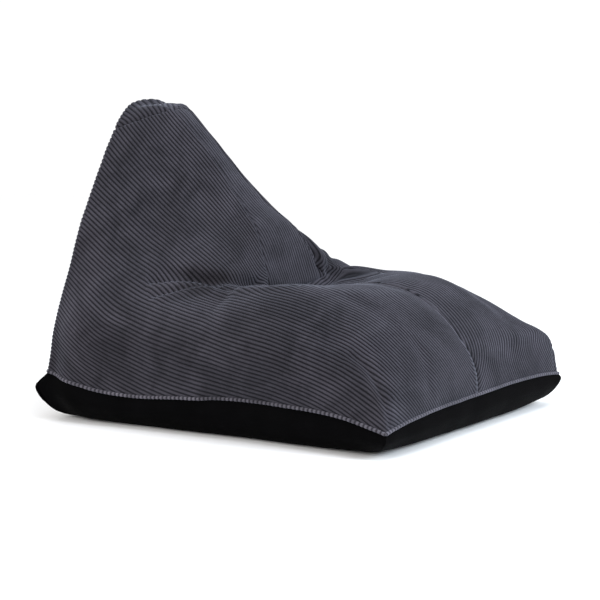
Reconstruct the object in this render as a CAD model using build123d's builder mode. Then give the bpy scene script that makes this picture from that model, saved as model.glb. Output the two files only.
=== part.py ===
from build123d import *
import math
import os

# Bean bag lounger: a wide-wale corduroy cover on a black canvas base, an inner liner, and a bead fill.
# Units are millimetres. +Z is up, the sitter faces -Y, and the origin lies on the floor under the middle.
# "Left" and "right" are the sitter's own, so the sitter's left is +X.

# ---- overall sizes -------------------------------------------------------------------------------
hem_width = 900.0          # across the ears of the hem, along X
hem_depth = 1000.0         # front hem line to rear hem line, along Y
crown_height = 775.0       # top of the backrest above the floor
seam_height = 90.0         # height of the hem seam that joins the corduroy to the base
foot_side_margin = 65.0    # the flat footprint lies this far inside the hem at each side
foot_end_margin = 60.0     # and this far inside it at the front and the rear
side_dip = 20.0            # how far the long hem edges pull in between the ears
ear_radius = 10.0          # rounding at the tip of each ear
foot_radius = 60.0         # rounding of the footprint's corners
foot_dip = 0.1             # its long sides are all but straight
belly_height = 35.0        # height at which the base is nearly at its full width
belly_margin = 24.0        # how far inside the hem the base is at that height
skirt_share = 0.4          # the skirt point lies this far up from the hem to the haunch
skirt_bulge = 2.0          # and this far outside the straight line between them

# ---- layers, from the outside in -----------------------------------------------------------------
corduroy = 3.0             # corduroy cover thickness
canvas = 2.0               # base canvas thickness
welt = 8.0                 # welt height at the hem seam
welt_width = 7.0           # how wide the welt's ring is in plan
welt_inner_radius = 1.0    # the ring's inner corners are nearly square
welt_lip = 4.0             # how far the welt stands out past the corduroy
canvas_lip = 2.0           # how far the welt stands out past the canvas
layer_gap = 0.8            # between the cover and the liner
liner = 1.2                # liner cloth thickness
fill_gap = 0.4             # between the liner and the beads
rear_tuck = 1.0            # the flat rear panel lies this far in from the edge of the hem seam
rear_room = 12.0           # space behind the rear panel for the inside of its zip
rear_fill_room = 4.5       # space behind the liner's rear wall for the inside of its zip

# ---- cover panels --------------------------------------------------------------------------------
cap_depth = 75.0           # the cap covers this much of the peak
seam_top_half = 22.0       # half-width of the backrest panel at the cap
seam_mid_half = 42.0       # half-width of the backrest panel halfway down
seam_crease_half = 140.0   # half-width where the backrest meets the seat
seam_top_share = 0.151     # where those half-widths lie, as shares from rear to front
seam_mid_share = 0.318
seam_crease_share = 0.469
rear_margin = 10.0         # the backrest panel stops this far short of the rear

# ---- zips ----------------------------------------------------------------------------------------
zip_foot_room = 35.0       # from the hem seam up to the cover's zip on the rear panel
zip_head_room = 140.0      # from the zip up to the cap
zip_slot = 11.0            # width of the opening in the cloth over either zip
liner_zip_length = 300.0   # the liner's zip runs level, along X
liner_zip_height = 230.0   # its height above the floor
tape_width = 15.0          # each tape
tape = 1.0                 # tape thickness
coil_width = 2.4           # each row of coil
coil_depth = 2.2
coil_half_gap = 0.9        # from the centre line to each row, so the slider's wedge can pass
slider_length = 13.0
slider_width = 9.4
slider_plate = 1.3
slider_clearance = 0.3
wedge_width = 1.2
slider_radius = 1.5        # rounding of the slider's plates in plan
flange_setback = 1.6       # the slider's flanges stop this far short of each end of its plates
stop_length = 5.0
stop_radius = 0.8          # rounding of the stops' corners
stop_gap = 0.3             # from the last coil to the stop
coil_end_room = 1.0        # tape left bare past each stop
bail_rod = 0.8             # radius of the slider's cross pin
bail_height = 2.1          # pin centre above the slider's top plate
bail_wall = 1.0
bail_rise = 1.3            # the bail's cheeks reach this far above the pin centre
bail_length = 3.2          # the cheeks' length along the zip
pull_length = 30.0
pull_width = 5.6
pull_thickness = 1.6
pull_eye = 1.7             # outer radius of the pull's eye
pull_hole_radius = 1.5     # hole for a cord at the pull's lower end
pull_hole_margin = 4.5     # its centre above that end
pin_clearance = 0.05       # radial, between the pin and the pull's eye

# ---- carry loop ----------------------------------------------------------------------------------
webbing_width = 30.0
webbing = 2.2              # webbing thickness
loop_hinge_drop = 38.0     # the lower edge of the sewn tab lies this far below the crown
loop_drop = 122.0          # how far the loop hangs below that
loop_bow = 35.0            # how far the loop's outer layer stands off the rear panel
loop_turn = 8.0            # radius of the fold at the loop's foot
loop_belly = 0.38          # where the loop stands off furthest, as a share of its drop from the foot
loop_lean = 0.2            # slope of the inner face where the loop's two layers come together
loop_join_drop = 6.6       # where they come together, below the tab
loop_clearance = 0.3
tab_height = 15.0
patch_width = 44.0
patch_height = 26.0
patch = 1.0
stitch_radius = 0.45
stitch_margin = 3.0

# ---- values that follow from those ---------------------------------------------------------------
# The box round the whole chair, carry loop included, is centred on the origin along Y.
half_width = hem_width / 2
hem_front = -(hem_depth - welt_lip - rear_tuck + loop_bow) / 2
hem_rear = hem_front + hem_depth
hem_middle = (hem_front + hem_rear) / 2
half_depth = hem_depth / 2
cover_front = hem_front + welt_lip
cover_rear = hem_rear - welt_lip - rear_tuck
cover_foot = seam_height + welt / 2        # lower edge of the corduroy
canvas_top = seam_height - welt / 2        # upper edge of the canvas
liner_rear = cover_rear - rear_room
fill_rear = liner_rear - liner - rear_fill_room
cap_height = crown_height - cap_depth
zip_low = seam_height + zip_foot_room
zip_high = cap_height - zip_head_room
loop_hinge_height = crown_height - loop_hinge_drop

# Each station is a cross-section at one place from rear (0) to front (1). After the place come the crown,
# then the shoulder, flank and haunch as (half-width, height). Half-widths are shares of the whole width's
# half, and heights are shares of the way from the hem seam up to the crown height.
stations = [
    (0.000, 0.975, (0.222, 0.925), (0.522, 0.628), (0.922, 0.234)),
    (0.030, 0.994, (0.215, 0.932), (0.505, 0.638), (0.926, 0.234)),
    (0.072, 0.998, (0.173, 0.930), (0.467, 0.642), (0.928, 0.234)),
    (0.121, 0.955, (0.142, 0.893), (0.415, 0.638), (0.918, 0.239)),
    (0.171, 0.887, (0.122, 0.833), (0.375, 0.621), (0.910, 0.239)),
    (0.234, 0.787, (0.122, 0.742), (0.388, 0.564), (0.910, 0.231)),
    (0.302, 0.679, (0.145, 0.642), (0.422, 0.497), (0.918, 0.222)),
    (0.383, 0.572, (0.200, 0.541), (0.482, 0.438), (0.931, 0.219)),
    (0.439, 0.491, (0.240, 0.474), (0.535, 0.409), (0.944, 0.219)),
    (0.484, 0.357, (0.283, 0.373), (0.600, 0.398), (0.953, 0.219)),
    (0.535, 0.306, (0.333, 0.332), (0.655, 0.397), (0.959, 0.216)),
    (0.600, 0.335, (0.355, 0.356), (0.676, 0.396), (0.961, 0.211)),
    (0.666, 0.372, (0.378, 0.387), (0.689, 0.390), (0.960, 0.206)),
    (0.780, 0.365, (0.422, 0.366), (0.711, 0.338), (0.944, 0.168)),
    (0.880, 0.312, (0.444, 0.308), (0.722, 0.270), (0.929, 0.129)),
    (0.952, 0.209, (0.456, 0.201), (0.744, 0.165), (0.922, 0.078)),
    (1.000, 0.063, (0.489, 0.061), (0.778, 0.050), (0.933, 0.027)),
]


def station_y(share):
    """Place of a station along Y."""
    return cover_rear + share * (cover_front - cover_rear)


def hem_half(y):
    """Half-width of the cover just above the hem, which pulls in between the ears."""
    off = (y - hem_middle) / half_depth
    return half_width - welt_lip - side_dip * (1 - off * off)


def above_seam(share):
    """Height of a point on a station."""
    return seam_height + share * (crown_height - seam_height)


def section_points(station, inset):
    """Right half of a cross-section, from the crown down to the hem, drawn in by the inset."""
    share, crown, *corners = station
    y = station_y(share)
    half = [(0.0, above_seam(crown))]
    half += [(x * half_width, above_seam(z)) for x, z in corners]
    haunch_x, haunch_z = half[-1]
    skirt_x = hem_half(y) + skirt_share * (haunch_x - hem_half(y)) + skirt_bulge
    half.append((skirt_x, seam_height + skirt_share * (haunch_z - seam_height)))
    half.append((hem_half(y), seam_height))
    mirrored = [(-half[1][0], half[1][1])] + half
    points = []
    for i in range(1, len(mirrored) - 1):
        dx = mirrored[i + 1][0] - mirrored[i - 1][0]
        dz = mirrored[i + 1][1] - mirrored[i - 1][1]
        run = math.hypot(dx, dz)
        x, z = mirrored[i]
        points.append((x + inset * dz / run, z - inset * dx / run))
    points.append((hem_half(y) - inset, seam_height))
    return y, points


def upper_body(inset, foot, front, rear):
    """The bag above its foot, drawn in by the inset, and cut square at the front and the rear."""
    with BuildPart() as body:
        for station in stations:
            y, right = section_points(station, inset)
            left = [(-x, z) for x, z in reversed(right[1:])]
            with BuildSketch(Plane.XZ.offset(-y)):
                with BuildLine():
                    Spline(*left, *right)
                    Line(right[-1], left[0])
                make_face()
        loft()
        if foot > seam_height:
            split(bisect_by=Plane.XY.offset(foot), keep=Keep.TOP)
        if front > cover_front:
            split(bisect_by=Plane.XZ.offset(-front), keep=Keep.BOTTOM)
        if rear < cover_rear:
            split(bisect_by=Plane.XZ.offset(-rear), keep=Keep.TOP)
    return body.part


def plan_outline(half_x, front, rear, dip, radius):
    """Closed plan outline: long edges that pull in by the dip, straight ends and rounded corners."""
    middle = (front + rear) / 2
    bend = radius * (1 - math.sqrt(0.5))
    with BuildSketch() as outline:
        with BuildLine():
            for side in (1, -1):
                x = side * half_x
                ThreePointArc((x, front + radius), (x - side * dip, middle), (x, rear - radius))
                corner = (x - side * bend, rear - bend)
                ThreePointArc((x, rear - radius), corner, (x - side * radius, rear))
                corner = (x - side * bend, front + bend)
                ThreePointArc((x, front + radius), corner, (x - side * radius, front))
            Line((half_x - radius, rear), (radius - half_x, rear))
            Line((half_x - radius, front), (radius - half_x, front))
        make_face()
    return outline.sketch


def base_body(hem_inset, wall, top, rear):
    """The bag below its top, lofted from the footprint through the belly to the hem outline."""
    foot_half = half_width - foot_side_margin - wall
    foot_front = hem_front + foot_end_margin + wall
    foot_rear = hem_rear - foot_end_margin - wall
    belly = belly_margin + wall
    levels = [
        (wall, foot_half, foot_front, foot_rear, foot_dip, foot_radius),
        (belly_height, half_width - belly, hem_front + belly, hem_rear - belly,
         side_dip / 2, foot_radius / 2),
        (seam_height, half_width - hem_inset, hem_front + hem_inset, hem_rear - hem_inset,
         side_dip, ear_radius),
    ]
    with BuildPart() as body:
        for height, half_x, front, back, dip, radius in levels:
            with BuildSketch(Plane.XY.offset(height)):
                add(plan_outline(half_x, front, back, dip, radius))
        loft(ruled=True)
        if top < seam_height:
            split(bisect_by=Plane.XY.offset(top), keep=Keep.BOTTOM)
        if rear < hem_rear:
            split(bisect_by=Plane.XZ.offset(-rear), keep=Keep.TOP)
    return body.part


def write(part, name):
    """Label one finished piece and write it to its own file."""
    part.label = name
    export_step(part, f"parts/{name}.step")


os.makedirs("parts", exist_ok=True)

# ---- corduroy cover ------------------------------------------------------------------------------
cover_outside = upper_body(0.0, cover_foot, cover_front, cover_rear)
cover_inside = upper_body(corduroy, cover_foot, cover_front + corduroy, cover_rear - corduroy)

# The rear panel's opening is narrower than the tapes and as long as the zip.
zip_middle = (zip_low + zip_high) / 2
rear_slot_size = (zip_slot, 4 * corduroy, zip_high - zip_low)

with BuildPart() as cover_shell:
    add(cover_outside)
    add(cover_inside, mode=Mode.SUBTRACT)
    with Locations((0, cover_rear, zip_middle)):
        Box(*rear_slot_size, mode=Mode.SUBTRACT)

with BuildPart() as top_cap:
    add(cover_shell.part)
    split(bisect_by=Plane.XY.offset(cap_height), keep=Keep.TOP)

with BuildPart() as cover_below_cap:
    add(cover_shell.part)
    split(bisect_by=Plane.XY.offset(cap_height), keep=Keep.BOTTOM)

# The backrest panel is a wedge, narrow under the cap and wide at the crease. The two side panels meet at
# a seam along the middle of the seat and the front, and again down the middle of the rear.
seam_top_y = station_y(seam_top_share)
seam_mid_y = station_y(seam_mid_share)
seam_crease_y = station_y(seam_crease_share)
cap_front_y = cover_rear - rear_margin

with BuildPart() as wedge_prism:
    with BuildSketch():
        with BuildLine():
            Polyline(
                (-seam_top_half, cap_front_y),
                (-seam_top_half, seam_top_y),
                (-seam_mid_half, seam_mid_y),
                (-seam_crease_half, seam_crease_y),
                (seam_crease_half, seam_crease_y),
                (seam_mid_half, seam_mid_y),
                (seam_top_half, seam_top_y),
                (seam_top_half, cap_front_y),
                close=True,
            )
        make_face()
    extrude(amount=2 * crown_height)

with BuildPart() as backrest_panel:
    add(cover_below_cap.part)
    add(wedge_prism.part, mode=Mode.INTERSECT)

with BuildPart() as side_panels:
    add(cover_below_cap.part)
    add(wedge_prism.part, mode=Mode.SUBTRACT)

with BuildPart() as left_side_panel:
    add(side_panels.part)
    split(bisect_by=Plane.YZ, keep=Keep.TOP)

with BuildPart() as right_side_panel:
    add(side_panels.part)
    split(bisect_by=Plane.YZ, keep=Keep.BOTTOM)

# ---- canvas base and the welt between the two ----------------------------------------------------
base_outside = base_body(canvas_lip, 0.0, canvas_top, hem_rear)
base_inside = base_body(canvas_lip + canvas, canvas, canvas_top, hem_rear)

with BuildPart() as base_panel:
    add(base_outside)
    add(base_inside, mode=Mode.SUBTRACT)

with BuildPart() as hem_welt:
    with BuildSketch(Plane.XY.offset(canvas_top)):
        add(plan_outline(half_width, hem_front, hem_rear, side_dip, ear_radius))
    extrude(amount=welt)
    rim = hem_welt.edges().group_by(Axis.Z)[0] + hem_welt.edges().group_by(Axis.Z)[-1]
    chamfer(rim, length=welt / 4)
    with BuildSketch(Plane.XY.offset(canvas_top)):
        add(plan_outline(half_width - welt_width, hem_front + welt_width, hem_rear - welt_width,
                         side_dip, welt_inner_radius))
    extrude(amount=welt, mode=Mode.SUBTRACT)

# ---- inner liner ---------------------------------------------------------------------------------
liner_outer_inset = corduroy + layer_gap
liner_inner_inset = liner_outer_inset + liner
fill_inset = liner_inner_inset + fill_gap
liner_slot_size = (liner_zip_length, 4 * liner, zip_slot)

with BuildPart() as liner_upper:
    add(upper_body(liner_outer_inset, seam_height, cover_front + liner_outer_inset, liner_rear))
    add(upper_body(liner_inner_inset, seam_height, cover_front + liner_inner_inset,
                   liner_rear - liner), mode=Mode.SUBTRACT)
    with Locations((0, liner_rear, liner_zip_height)):
        Box(*liner_slot_size, mode=Mode.SUBTRACT)

liner_hem = welt_lip + liner_outer_inset
base_gap = canvas + layer_gap / 2

with BuildPart() as liner_base:
    add(base_body(liner_hem, base_gap, seam_height, liner_rear))
    add(base_body(liner_hem + liner, base_gap + liner, seam_height, liner_rear - liner),
        mode=Mode.SUBTRACT)

# ---- bead fill -----------------------------------------------------------------------------------
fill_low_gap = base_gap + liner + fill_gap

with BuildPart() as bead_fill:
    add(upper_body(fill_inset, seam_height, cover_front + fill_inset, fill_rear))
    add(base_body(welt_lip + fill_inset, fill_low_gap, seam_height, fill_rear))


# ---- zips ----------------------------------------------------------------------------------------
# A zip's plane has its y axis along the zip, its x axis across it and its z axis pointing outwards,
# with its origin in the middle of the zip on the inner face of the cloth.
def zip_tape(plane, length, side):
    """One tape, flat against the inside of the cloth."""
    middle = coil_half_gap + tape_width / 2
    with BuildPart() as piece:
        with BuildSketch(plane):
            with Locations((side * middle, 0)):
                Rectangle(tape_width, length)
        extrude(amount=-tape)
    return piece.part


def zip_coil(plane, length, side):
    """One row of coil on its tape, rounded along its outer corners."""
    middle = coil_half_gap + coil_width / 2
    with BuildPart() as piece:
        with BuildSketch(plane):
            with Locations((side * middle, 0)):
                Rectangle(coil_width, length)
        extrude(amount=coil_depth)
        along = piece.edges().filter_by(Axis(plane.origin, plane.y_dir))
        fillet(along.group_by(Axis(plane.origin, plane.z_dir))[-1], radius=coil_width / 3)
    return piece.part


def zip_stop(plane, place):
    """A clamped end stop that straddles both rows just past the end of the coil."""
    with BuildPart() as piece:
        with BuildSketch(plane):
            with Locations((0, place)):
                RectangleRounded(2 * (coil_half_gap + coil_width), stop_length, radius=stop_radius)
        extrude(amount=coil_depth)
    return piece.part


def zip_slider(plane, place, with_bail):
    """Slider: two plates joined by a wedge, with flanges that reach towards the tape from outside."""
    top = coil_depth + slider_clearance
    under = tape + slider_clearance
    flange = (slider_width / 2) - coil_half_gap - coil_width - slider_clearance
    with BuildPart() as piece:
        with BuildSketch(plane.offset(top)):
            with Locations((0, place)):
                RectangleRounded(slider_width, slider_length, radius=slider_radius)
        extrude(amount=slider_plate)
        with BuildSketch(plane.offset(-under)):
            with Locations((0, place)):
                RectangleRounded(slider_width, slider_length, radius=slider_radius)
        extrude(amount=-slider_plate)
        with BuildSketch(plane.offset(-under)):
            with Locations((0, place)):
                Rectangle(wedge_width, slider_length / 3)
        extrude(amount=under + top)
        with BuildSketch(plane.offset(slider_clearance)):
            for side in (-1, 1):
                with Locations((side * (slider_width - flange) / 2, place)):
                    Rectangle(flange, slider_length - 2 * flange_setback)
        extrude(amount=top - slider_clearance)
        if with_bail:
            cheek = pull_width / 2 + slider_clearance
            deck = top + slider_plate
            with BuildSketch(plane.offset(deck)):
                for side in (-1, 1):
                    with Locations((side * (cheek + bail_wall / 2), place)):
                        Rectangle(bail_wall, bail_length)
            extrude(amount=bail_height + bail_rise)
            pin_plane = Plane(
                origin=plane.from_local_coords((-cheek, place, deck + bail_height)),
                x_dir=plane.y_dir,
                z_dir=plane.x_dir,
            )
            with BuildSketch(pin_plane):
                Circle(bail_rod)
            extrude(amount=2 * cheek)
    return piece.part


cover_zip_length = zip_high - zip_low
cover_zip_plane = Plane(
    origin=(0, cover_rear - corduroy, zip_middle), x_dir=(-1, 0, 0), z_dir=(0, 1, 0)
)
coil_length = cover_zip_length - 2 * (stop_length + coil_end_room)
stop_place = coil_length / 2 + stop_gap + stop_length / 2
slider_place = -(coil_length / 2 - slider_length / 2 - slider_clearance)

zip_tape_right = zip_tape(cover_zip_plane, cover_zip_length, 1)
zip_tape_left = zip_tape(cover_zip_plane, cover_zip_length, -1)
zip_coil_right = zip_coil(cover_zip_plane, coil_length, 1)
zip_coil_left = zip_coil(cover_zip_plane, coil_length, -1)
zip_top_stop = zip_stop(cover_zip_plane, stop_place)
zip_bottom_stop = zip_stop(cover_zip_plane, -stop_place)
cover_slider = zip_slider(cover_zip_plane, slider_place, True)

# The pull hangs from the slider's cross pin: an eye round the pin, and a tab with a hole at its end.
pin_height = coil_depth + slider_clearance + slider_plate + bail_height
pin_centre = cover_zip_plane.from_local_coords((0, slider_place, pin_height))
pull_side = Plane(origin=(pull_width / 2, pin_centre.Y, pin_centre.Z), x_dir=(0, 1, 0), z_dir=(1, 0, 0))

with BuildPart() as zip_pull:
    with BuildSketch(pull_side):
        Circle(pull_eye)
        with Locations((0, -pull_length / 2)):
            Rectangle(pull_thickness, pull_length)
        Circle(bail_rod + pin_clearance, mode=Mode.SUBTRACT)
    extrude(amount=-pull_width)
    pull_end = (0, pin_centre.Y, pin_centre.Z - pull_length)
    with BuildSketch(Plane(origin=pull_end, x_dir=(1, 0, 0), z_dir=(0, 1, 0))):
        with Locations((0, -pull_hole_margin)):
            Circle(pull_hole_radius)
    extrude(amount=pull_thickness, both=True, mode=Mode.SUBTRACT)

liner_zip_plane = Plane(
    origin=(0, liner_rear - liner, liner_zip_height), x_dir=(0, 0, 1), z_dir=(0, 1, 0)
)
liner_coil_length = liner_zip_length - 2 * (stop_length + coil_end_room)
liner_stop_place = liner_coil_length / 2 + stop_gap + stop_length / 2
liner_slider_place = -(liner_coil_length / 2 - slider_length / 2 - slider_clearance)

liner_zip_tape_upper = zip_tape(liner_zip_plane, liner_zip_length, 1)
liner_zip_tape_lower = zip_tape(liner_zip_plane, liner_zip_length, -1)
liner_zip_coil_upper = zip_coil(liner_zip_plane, liner_coil_length, 1)
liner_zip_coil_lower = zip_coil(liner_zip_plane, liner_coil_length, -1)
liner_zip_stop_left = zip_stop(liner_zip_plane, liner_stop_place)
liner_zip_stop_right = zip_stop(liner_zip_plane, -liner_stop_place)
liner_slider = zip_slider(liner_zip_plane, liner_slider_place, False)

# ---- carry loop ----------------------------------------------------------------------------------
# The loop's two ends are sewn down as a flat tab on the cap, and the loop hangs free below it.
loop_wall = cover_rear + loop_clearance
loop_foot = loop_hinge_height - loop_drop

loop_side = Plane.YZ.offset(-webbing_width / 2)
belly = loop_foot + loop_belly * loop_drop
loop_join = loop_hinge_height - loop_join_drop
outer_start = (loop_wall, loop_foot + loop_turn)
outer_turn_end = (loop_wall + loop_turn, loop_foot)
outer_top = (loop_wall + 2 * webbing, loop_hinge_height)
inner_wall = loop_wall + webbing
inner_turn = loop_turn - webbing
inner_start = (inner_wall, outer_start[1])
inner_turn_end = (outer_turn_end[0], loop_foot + webbing)

with BuildPart() as carry_loop:
    with BuildSketch(loop_side):
        with BuildLine():
            Line((loop_wall, loop_hinge_height), outer_start)
            RadiusArc(outer_start, outer_turn_end, -loop_turn)
            Spline(
                outer_turn_end,
                (cover_rear + loop_bow, belly),
                outer_top,
                tangents=[(1, 0), (0, 1), (0, 1)],
            )
            RadiusArc(outer_top, (loop_wall, loop_hinge_height), -webbing)
        make_face()
    extrude(amount=webbing_width)
    with BuildSketch(loop_side):
        with BuildLine():
            Line((inner_wall, loop_join), inner_start)
            RadiusArc(inner_start, inner_turn_end, -inner_turn)
            Spline(
                inner_turn_end,
                (cover_rear + loop_bow - webbing, belly),
                (inner_wall, loop_join),
                tangents=[(1, 0), (0, 1), (-loop_lean, 1)],
            )
        make_face()
    extrude(amount=webbing_width, mode=Mode.SUBTRACT)

tab_foot = loop_hinge_height + webbing + loop_clearance
with BuildPart() as handle_tab:
    with Locations((0, cover_rear + webbing, tab_foot + tab_height / 2)):
        Box(webbing_width, 2 * webbing, tab_height)

stitch_half_x = webbing_width / 2 - stitch_margin
stitch_half_z = tab_height / 2 - stitch_margin
stitch_plane = Plane(
    origin=(0, cover_rear + 2 * webbing, tab_foot + tab_height / 2), x_dir=(-1, 0, 0), z_dir=(0, 1, 0)
)
with BuildPart() as handle_stitching:
    with BuildSketch(stitch_plane):
        Rectangle(2 * stitch_half_x + 2 * stitch_radius, 2 * stitch_half_z + 2 * stitch_radius)
        Rectangle(2 * stitch_half_x - 2 * stitch_radius, 2 * stitch_half_z - 2 * stitch_radius,
                  mode=Mode.SUBTRACT)
        diagonal = math.degrees(math.atan2(stitch_half_z, stitch_half_x))
        for turn in (diagonal, -diagonal):
            Rectangle(2 * math.hypot(stitch_half_x, stitch_half_z), 2 * stitch_radius, rotation=turn)
    extrude(amount=stitch_radius)

with BuildPart() as handle_backing_patch:
    with Locations((0, cover_rear - corduroy - patch / 2, tab_foot)):
        Box(patch_width, patch, patch_height)

# ---- write every piece ---------------------------------------------------------------------------
write(backrest_panel.part, "backrest_panel")
write(left_side_panel.part, "left_side_panel")
write(right_side_panel.part, "right_side_panel")
write(top_cap.part, "top_cap")
write(base_panel.part, "base_panel")
write(hem_welt.part, "hem_welt")
write(liner_upper.part, "liner_upper")
write(liner_base.part, "liner_base")
write(bead_fill.part, "bead_fill")
write(zip_tape_left, "zip_tape_left")
write(zip_tape_right, "zip_tape_right")
write(zip_coil_left, "zip_coil_left")
write(zip_coil_right, "zip_coil_right")
write(zip_top_stop, "zip_top_stop")
write(zip_bottom_stop, "zip_bottom_stop")
write(cover_slider, "zip_slider")
write(zip_pull.part, "zip_pull")
write(liner_zip_tape_upper, "liner_zip_tape_upper")
write(liner_zip_tape_lower, "liner_zip_tape_lower")
write(liner_zip_coil_upper, "liner_zip_coil_upper")
write(liner_zip_coil_lower, "liner_zip_coil_lower")
write(liner_zip_stop_left, "liner_zip_stop_left")
write(liner_zip_stop_right, "liner_zip_stop_right")
write(liner_slider, "liner_zip_slider")
write(carry_loop.part, "carry_loop")
write(handle_tab.part, "handle_tab")
write(handle_stitching.part, "handle_stitching")
write(handle_backing_patch.part, "handle_backing_patch")
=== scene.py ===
import bmesh
import bpy
import math
import numpy as np
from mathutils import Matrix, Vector, noise
from mathutils.kdtree import KDTree


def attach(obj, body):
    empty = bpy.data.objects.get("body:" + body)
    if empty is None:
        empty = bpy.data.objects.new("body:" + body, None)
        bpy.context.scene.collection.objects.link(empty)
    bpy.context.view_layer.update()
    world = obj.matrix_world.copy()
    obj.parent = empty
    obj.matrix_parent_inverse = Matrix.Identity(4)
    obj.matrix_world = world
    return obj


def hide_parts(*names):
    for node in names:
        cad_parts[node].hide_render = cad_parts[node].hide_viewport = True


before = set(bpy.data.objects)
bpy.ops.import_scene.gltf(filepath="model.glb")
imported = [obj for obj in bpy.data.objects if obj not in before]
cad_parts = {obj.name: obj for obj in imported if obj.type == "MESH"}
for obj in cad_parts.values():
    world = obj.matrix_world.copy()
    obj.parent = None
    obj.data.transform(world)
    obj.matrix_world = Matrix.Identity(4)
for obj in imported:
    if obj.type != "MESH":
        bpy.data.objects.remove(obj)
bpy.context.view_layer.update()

# ---- shape of the corduroy cover -----------------------------------------------------------------
# The stuffed corduroy bag above the hem seam: a leaning backrest that rises to a peak at the rear, a low
# crease, two side rolls and a sloping front. It is drawn as a coarse net of points from the rear edge to
# the front hem, then rounded; the beads keep it full and the cloth creases where it is bent.
REAR = 0.480
HEM_FRONT = -0.511
HEM_HALF = 0.446
HEM_DIP = 0.020
REAR_CORNER = 0.385
REAR_ROUNDING = 0.050
FRONT_ARCH = 0.018
HEM_MIDDLE = (REAR + HEM_FRONT) / 2
HEM_REACH = (REAR - HEM_FRONT) / 2


def hem_half(y):
    """Half-width of the bag at the hem, which pulls in between the corner ears."""
    off = (y - HEM_MIDDLE) / HEM_REACH
    rear_corner = max(0.0, (y - REAR_CORNER) / (REAR - REAR_CORNER))
    return HEM_HALF - HEM_DIP * (1 - off * off) - REAR_ROUNDING * rear_corner ** 2


# Height of the hem seam along each side, from the front corner to the rear one, as (Y, height).
right_hem = ((-0.511, 0.062), (-0.400, 0.086), (-0.260, 0.096), (-0.125, 0.097), (0.040, 0.090),
             (0.210, 0.079), (0.310, 0.086), (0.400, 0.102), (0.480, 0.119))
left_hem = ((-0.511, 0.080), (-0.400, 0.092), (-0.200, 0.100), (0.000, 0.096), (0.200, 0.084),
            (0.400, 0.100), (0.480, 0.112))


def hem_height(x, y):
    """Height of the hem seam, which runs straight across the front and the rear."""
    right = np.interp(y, *zip(*right_hem))
    left = np.interp(y, *zip(*left_hem))
    side = max(-1.0, min(1.0, x / HEM_HALF))
    arch = FRONT_ARCH * (1 - side ** 4) * (y < 0)
    return float(right + (left - right) * (0.5 + 0.5 * side) + arch)


# Each row runs across the bag at one place along Y: the crown's height, then the edge of the backrest
# panel, the shoulder, the flank and the haunch as (half-width, height).
bag_rows = [
    (0.480, 0.759, (0.064, 0.752), (0.124, 0.712), (0.240, 0.525), (0.347, 0.262)),
    (0.455, 0.772, (0.060, 0.765), (0.122, 0.722), (0.246, 0.535), (0.387, 0.262)),
    (0.409, 0.775, (0.045, 0.769), (0.094, 0.737), (0.225, 0.545), (0.408, 0.258)),
    (0.360, 0.760, (0.030, 0.754), (0.070, 0.722), (0.196, 0.545), (0.416, 0.256)),
    (0.311, 0.716, (0.026, 0.711), (0.058, 0.682), (0.175, 0.530), (0.412, 0.255)),
    (0.248, 0.650, (0.031, 0.645), (0.061, 0.620), (0.178, 0.490), (0.411, 0.250)),
    (0.181, 0.576, (0.040, 0.570), (0.068, 0.551), (0.190, 0.440), (0.413, 0.242)),
    (0.110, 0.505, (0.060, 0.498), (0.093, 0.480), (0.215, 0.398), (0.419, 0.240)),
    (0.055, 0.446, (0.095, 0.438), (0.130, 0.420), (0.238, 0.374), (0.424, 0.240)),
    (0.005, 0.318, (0.130, 0.330), (0.168, 0.340), (0.266, 0.340), (0.428, 0.240)),
    (-0.030, 0.301, (0.142, 0.316), (0.205, 0.326), (0.290, 0.345), (0.430, 0.239)),
    (-0.100, 0.312, (0.148, 0.322), (0.222, 0.337), (0.304, 0.352), (0.432, 0.236)),
    (-0.180, 0.335, (0.150, 0.340), (0.230, 0.349), (0.310, 0.354), (0.432, 0.231)),
    (-0.290, 0.340, (0.155, 0.345), (0.235, 0.341), (0.320, 0.322), (0.425, 0.205)),
    (-0.385, 0.300, (0.160, 0.300), (0.240, 0.294), (0.325, 0.275), (0.418, 0.178)),
    (-0.455, 0.240, (0.165, 0.239), (0.245, 0.233), (0.335, 0.212), (0.414, 0.150)),
    (-0.500, 0.170, (0.168, 0.168), (0.250, 0.165), (0.345, 0.152), (0.414, 0.122)),
]
# The sitter's left side is slacker than the right along its roll, and fuller at its front corner.
left_side_changes = {
    (9, 3): (-0.004, 0.002), (10, 3): (-0.013, -0.009), (11, 3): (-0.012, -0.019),
    (12, 3): (-0.010, -0.025), (13, 3): (-0.008, -0.024), (14, 3): (0.0, -0.012),
    (15, 3): (0.004, 0.010), (16, 3): (0.008, 0.034), (9, 2): (0.0, 0.016), (10, 2): (0.0, 0.024),
    (11, 2): (0.0, 0.001), (12, 2): (0.0, -0.005), (13, 2): (0.0, -0.014), (14, 2): (0.0, -0.006),
    (16, 2): (0.0, 0.018),
    (15, 4): (0.010, 0.030), (16, 4): (0.014, 0.038), (14, 4): (0.004, 0.010),
}
SKIRT_SHARE = 0.42
SKIRT_BULGE = 0.003
REAR_BULGE = 0.004
CREASE_ROW = 9
ROUNDING_LEVELS = 4
PUSH_ROUNDS, PUSH_SHARE = 5, 0.8

cage = []
cage_at = {}


def cage_point(row, column, x, y, z):
    cage_at[row, column] = len(cage)
    cage.append((x, y, z))


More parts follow.
